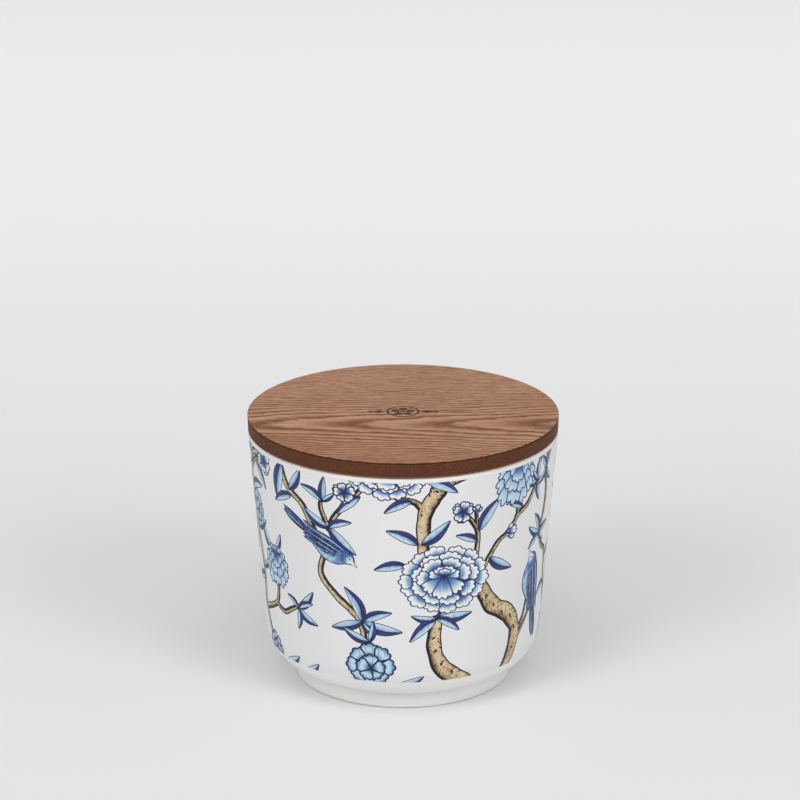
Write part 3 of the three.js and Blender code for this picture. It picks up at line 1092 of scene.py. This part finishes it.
def draw_leaves(art, here):
    for x, y, turn, length in LEAVES:
        side = art.random.choice((-1, 1))
        leaf(art, here.at(x, y, turn), length, length * 0.3, 0.12 * side, side)
    for i, (x, y, leaves) in enumerate(TUFTS):
        whorl(art, here.at(x, y), leaves, 1 if i % 2 else -1)


def draw_print(art):
    """A flowering vine with two birds, repeated round the wall."""
    repeats = [Place(np.eye(3)).at(*place) for place in REPEATS]
    draw_limbs(art, repeats)
    for here in repeats:
        draw_leaves(art, here)
        for draw, flowers in FLOWERS:
            for size, *place in flowers:
                draw(art, here.at(*place), size)
        for place in BIRDS:
            bird(art, here.at(*place))


# ---- the printed sheet: the drawing cut into triangles and bent round the wall
def inside(points, outline):
    """Which points lie in a closed outline, by its winding about them."""
    winding = np.zeros(len(points), np.int32)
    for (x0, y0), (x1, y1) in zip(outline, np.roll(outline, -1, axis=0)):
        left = (x1 - x0) * (points[:, 1] - y0) - (points[:, 0] - x0) * (y1 - y0)
        winding += (y0 <= points[:, 1]) & (points[:, 1] < y1) & (left > 0)
        winding -= (y1 <= points[:, 1]) & (points[:, 1] < y0) & (left < 0)
    return winding != 0


def topmost(points, shapes):
    """The number of the highest shape over each point, or -1 where there is only the ground."""
    order = np.argsort(points[:, 0])
    found = np.full(len(points), -1)
    for number, (outline, _, _) in enumerate(shapes):
        low, high = outline.min(axis=0), outline.max(axis=0)
        first, last = np.searchsorted(points[:, 0], (low[0], high[0]), sorter=order)
        nearby = order[first:last]
        heights = points[nearby, 1]
        nearby = nearby[(heights >= low[1]) & (heights <= high[1])]
        found[nearby[inside(points[nearby], outline)]] = number
    return found


def triangulated(lines, points, box):
    """Triangles of a rectangle (left, bottom, right, top) cut along lines, with extra corners at points."""
    corners, edges = [], []
    for line in lines:
        edges += [(len(corners) + i, len(corners) + i + 1) for i in range(len(line) - 1)]
        corners += [Vector(p) for p in line]
    corners += [Vector(p) for p in points]
    made, _, faces, _, _, _ = delaunay_2d_cdt(corners, edges, [], 0, CUT_GRAIN)
    made, faces = np.array([tuple(p) for p in made]), np.array(faces)
    middle = made[faces].mean(axis=1)
    within = ((middle > box[:2]) & (middle < box[2:])).all(axis=1)
    used, faces = np.unique(faces[within], return_inverse=True)
    return made[used], faces.reshape(-1, 3)


def border_lines(box):
    """The rectangle's border and the straight cuts that let the sheet bend."""
    left, bottom, right, top = box
    lines = [[(left, bottom), (right, bottom), (right, top), (left, top), (left, bottom)]]
    lines += [[(x, bottom), (x, top)] for x in np.linspace(left, right, BEND_CUTS + 1)[1:-1]]
    lines += [[(left, y), (right, y)] for y in np.arange(bottom + 1, bottom + SHOULDER_ON_PRINT, 1.0)]
    return lines


def sides_of(faces):
    """The first side of every triangle, then the second and third ones, as pairs of corner numbers."""
    return np.vstack([faces[:, [0, 1]], faces[:, [1, 2]], faces[:, [2, 0]]])


def visible_edges(corners, faces, owner):
    """The edges with a different shape on either side, as short lines."""
    sides = np.sort(sides_of(faces), axis=1)
    owners = np.tile(owner, 3)
    order = np.lexsort((sides[:, 1], sides[:, 0]))
    sides, owners = sides[order], owners[order]
    same = (sides[1:] == sides[:-1]).all(axis=1)
    return corners[sides[1:][same & (owners[1:] != owners[:-1])]]


def blended_spots(shapes, box):
    """A grid of points over the parts of the drawing where the ink changes from place to place."""
    left, bottom, right, top = box
    grid = np.meshgrid(np.arange(left, right, INK_GRAIN), np.arange(bottom, top, INK_GRAIN))
    spots = np.stack(grid, axis=-1).reshape(-1, 2) + INK_GRAIN / 2
    blended = np.array([not even for _, _, even in shapes] + [False])
    return spots[blended[topmost(spots, shapes)] & (spots < box[2:]).all(axis=1)]


def flattened(shapes, box):
    """The drawing over a rectangle as corners, triangles and the ink at each triangle's corners."""
    outlines = [np.vstack([outline, outline[:1]]) for outline, _, _ in shapes]
    corners, faces = triangulated(border_lines(box) + outlines, [], box)
    seen = visible_edges(corners, faces, topmost(corners[faces].mean(axis=1), shapes))
    corners, faces = triangulated(border_lines(box) + list(seen), blended_spots(shapes, box), box)
    owner = topmost(corners[faces].mean(axis=1), shapes)
    inks = np.tile(ink("ground"), (len(faces), 3, 1))
    for number in np.unique(owner[owner >= 0]):
        mine = owner == number
        inks[mine] = shapes[number][1](corners[faces[mine]].reshape(-1, 2)).reshape(-1, 3, 3)
    return corners, faces, linear(np.clip(inks, 0, 1))


def moved_paint(paint, shift):
    return lambda points: paint(points - [shift, 0])


def nearby_shapes(art, box):
    """The shapes over a rectangle, where the drawing goes round the wall and meets itself."""
    found = []
    for outline, paint, even in art.shapes:
        for shift in (-WALL_ROUND, 0.0, WALL_ROUND):
            moved = outline + [shift, 0]
            if (moved.max(axis=0) > box[:2]).all() and (moved.min(axis=0) < box[2:]).all():
                found.append((moved, moved_paint(paint, shift), even))
    return found


def film_profile():
    """The film's section: height up the print, radius and height of the wall, and its outward slope."""
    (_, _, low), (_, _, high) = box_mm("print_wrap")
    heights = np.linspace(low, high, PROFILE_STEPS)
    wall = np.array(outer_side())
    radii = np.interp(heights, wall[:, 1], wall[:, 0])
    rise = np.concatenate([[0], np.cumsum(np.hypot(np.diff(radii), np.diff(heights)))])
    return rise, radii, heights, np.gradient(radii, heights)


def bent(corners, inset):
    """Points of the print on the wall in millimetres, with the directions they face."""
    rise, radii, heights, slope = film_profile()
    angle = corners[:, 0] / WALL_ROUND * 2 * math.pi
    radius = np.interp(corners[:, 1], rise, radii) + FILM_STAND_OFF - inset
    height = np.interp(corners[:, 1], rise, heights)
    lean = np.interp(corners[:, 1], rise, slope)
    places = np.stack([radius * np.sin(angle), -radius * np.cos(angle), height], axis=1)
    return places, unit(np.stack([np.sin(angle), -np.cos(angle), -lean], axis=1))


def rim_of(faces):
    """The sides that only one triangle has."""
    sides = sides_of(faces)
    _, first, times = np.unique(np.sort(sides, axis=1), axis=0, return_index=True, return_counts=True)
    return sides[first[times == 1]]


def film_piece(name, art, middle, material):
    """Half of the film as a thin closed sheet: its printed face, a plain back and the edges between them."""
    box = (middle - HALF_ROUND / 2, 0.0, middle + HALF_ROUND / 2, film_profile()[0][-1])
    corners, faces, inks = flattened(nearby_shapes(art, box), box)
    rim = rim_of(faces)
    back, back_faces = triangulated(border_lines(box), corners[np.unique(rim)], box)
    back_faces = back_faces[:, ::-1]
    start, end = rim.T
    below_start, below_end = (len(corners) + nearest(corners[side], back) for side in (start, end))
    edge_faces = np.stack([end, start, below_start, below_end], axis=1)
    places, facing = bent(corners, 0)
    back_places, back_facing = bent(back, FILM_THICKNESS)
    vertices = np.vstack([places, back_places])
    polygons = faces.tolist() + (back_faces + len(corners)).tolist() + edge_faces.tolist()
    piece = new_piece(name, vertices, polygons, [material])
    bare = np.tile(linear(ink("ground")), (back_faces.size + edge_faces.size, 1))
    colours = np.vstack([inks.reshape(-1, 3), bare]).astype(np.float32)
    piece.data.attributes.new(INK_LAYER, "FLOAT_VECTOR", "CORNER").data.foreach_set("vector", colours.ravel())
    ends = vertices[edge_faces]
    across = unit(np.cross(ends[:, 1] - ends[:, 0], ends[:, 3] - ends[:, 0]))
    directions = [facing[faces.ravel()], -back_facing[back_faces.ravel()], np.repeat(across, 4, axis=0)]
    piece.data.normals_split_custom_set(np.vstack(directions).tolist())
    return piece


# ---- the stage. The camera and the lights are placed in metres
CAMERA_PLACE = (-0.0012, -1.2069, 0.5097)
CAMERA_TILT = 71.70  # degrees up from straight down
LENS, SENSOR = 148.5, 36  # focal length and width, in millimetres
ROOM_LIGHT = 0.48  # strength of the even light from all round
# Area lights: where each hangs, what it faces, its width and height, its watts and the angle of its beam.
LIGHTS = {
    "left_softbox": ((-1.15, -1.3, 1.2), (0, 0, 0.06), (0.8, 0.8), 11.5, 180),
    "right_softbox": ((1.2, -1.25, 1.15), (0, 0, 0.06), (0.8, 0.8), 10.5, 180),
    "overhead_softbox": ((0, -0.8, 2.0), (0, 0, 0.06), (1.6, 1.2), 9.0, 180),
    "background_light": ((0, 1.34, 2.0), (0, 1.34, 0), (3.0, 1.8), 6.3, 40),
}


def stage_floor():
    """A wide pale floor whose tone drifts a little."""
    look = Look("studio_floor")
    drift = look.noise((0.0006, 0.0006, 0.0006), 2)
    look.colour(look.mix(drift, rgb(232, 232, 233), rgb(236, 236, 236)))
    look.roughness(0.85)
    look.bump(look.noise((0.02, 0.02, 0.02), 3), 0.05)
    segments = [(k, (k + 1) % FLOOR_SEGMENTS) for k in range(FLOOR_SEGMENTS)]
    vertices = [(0, 0, 0)]
    vertices += [(*polar(360 * k / FLOOR_SEGMENTS, reach), 0) for reach in FLOOR_RINGS for k, _ in segments]
    faces = [(0, 1 + k, 1 + n) for k, n in segments]
    for ring in range(1, len(FLOOR_RINGS)):
        outer = 1 + ring * FLOOR_SEGMENTS
        inner = outer - FLOOR_SEGMENTS
        faces += [(inner + k, outer + k, outer + n, inner + n) for k, n in segments]
    new_piece("floor", vertices, faces, [look.material])


def light_the_studio():
    """Even light from all round, a softbox on either side, one overhead and one for the far floor."""
    for name, (place, target, size, watts, beam) in LIGHTS.items():
        lamp = bpy.data.lights.new(name, "AREA")
        lamp.shape = "RECTANGLE"
        lamp.size, lamp.size_y = size
        lamp.energy = watts
        lamp.spread = math.radians(beam)
        holder = placed(name, lamp)
        holder.location = place
        holder.rotation_euler = (Vector(target) - Vector(place)).to_track_quat("-Z", "Y").to_euler()
    world = bpy.data.worlds.new("studio")
    world.use_nodes = True
    background = world.node_tree.nodes["Background"].inputs
    background["Color"].default_value = (1, 1, 1, 1)
    background["Strength"].default_value = ROOM_LIGHT
    bpy.context.scene.world = world


def place_camera():
    lens = bpy.data.cameras.new("camera")
    lens.sensor_width = SENSOR
    lens.lens = LENS
    camera = placed("camera", lens)
    camera.location = CAMERA_PLACE
    camera.rotation_euler = (math.radians(CAMERA_TILT), 0, 0)
    bpy.context.scene.camera = camera


# ---- the object
def settle(piece, body, slot, *nodes):
    """Join a piece to its CAD body and hide the CAD nodes that it stands for. slot, which names its finish,
    is not used.
    """
    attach(piece, body)
    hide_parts(*nodes)


def build_canister():
    settle(make_jar(glaze()), "canister", "glaze", "canister_body")
    art = Print(DRAWING_SEED)
    draw_print(art)
    film = print_film()
    for name, middle in (("print_front", 0.0), ("print_back", HALF_ROUND)):
        settle(film_piece(name, art, middle, film), "canister", "print_film", "print_wrap")


def build_lid():
    """The lid's boards, plug and seal. The veneers are sawn wood at their edges."""
    _, (radius, _, high) = box_mm("top_veneer")
    rim = radius - CORE_LEAN - EDGE_ROUND * 1.5  # the veneers' edges lie beyond this radius
    # one sawn wood in two tones: the top edge is painted darker with shade along the top of the lid's side,
    # the bottom edge painted lighter with light from below
    shaded_top_edge = sawn_edge("top_veneer_edge_painted_shade", rgb(58, 30, 20), rgb(82, 46, 32))
    lit_bottom_edge = sawn_edge("bottom_veneer_edge_painted_light", rgb(96, 58, 40), rgb(128, 82, 58))
    top = make_board(
        "lid_top_veneer", "top_veneer", [veneer(True), shaded_top_edge],
        number_at=lambda r, h: int(r > rim and h < high - EDGE_ROUND / 2),
    )
    bottom = make_board(
        "lid_bottom_veneer", "bottom_veneer", [veneer(False), lit_bottom_edge],
        number_at=lambda r, h: int(r > rim),
    )
    core = fibreboard()
    middle = make_board("lid_board", "lid_core", [core], CORE_LEAN)
    settle(top, "lid", "veneer", "top_veneer")
    settle(bottom, "lid", "veneer", "bottom_veneer")
    settle(middle, "lid", "fibreboard", "lid_core")
    settle(make_plug(core), "lid", "fibreboard", "lid_plug")
    settle(make_seal(silicone()), "lid", "silicone", "seal_ring")


bpy.context.scene.view_settings.view_transform = "Standard"
place_camera()
light_the_studio()
stage_floor()
build_canister()
build_lid()
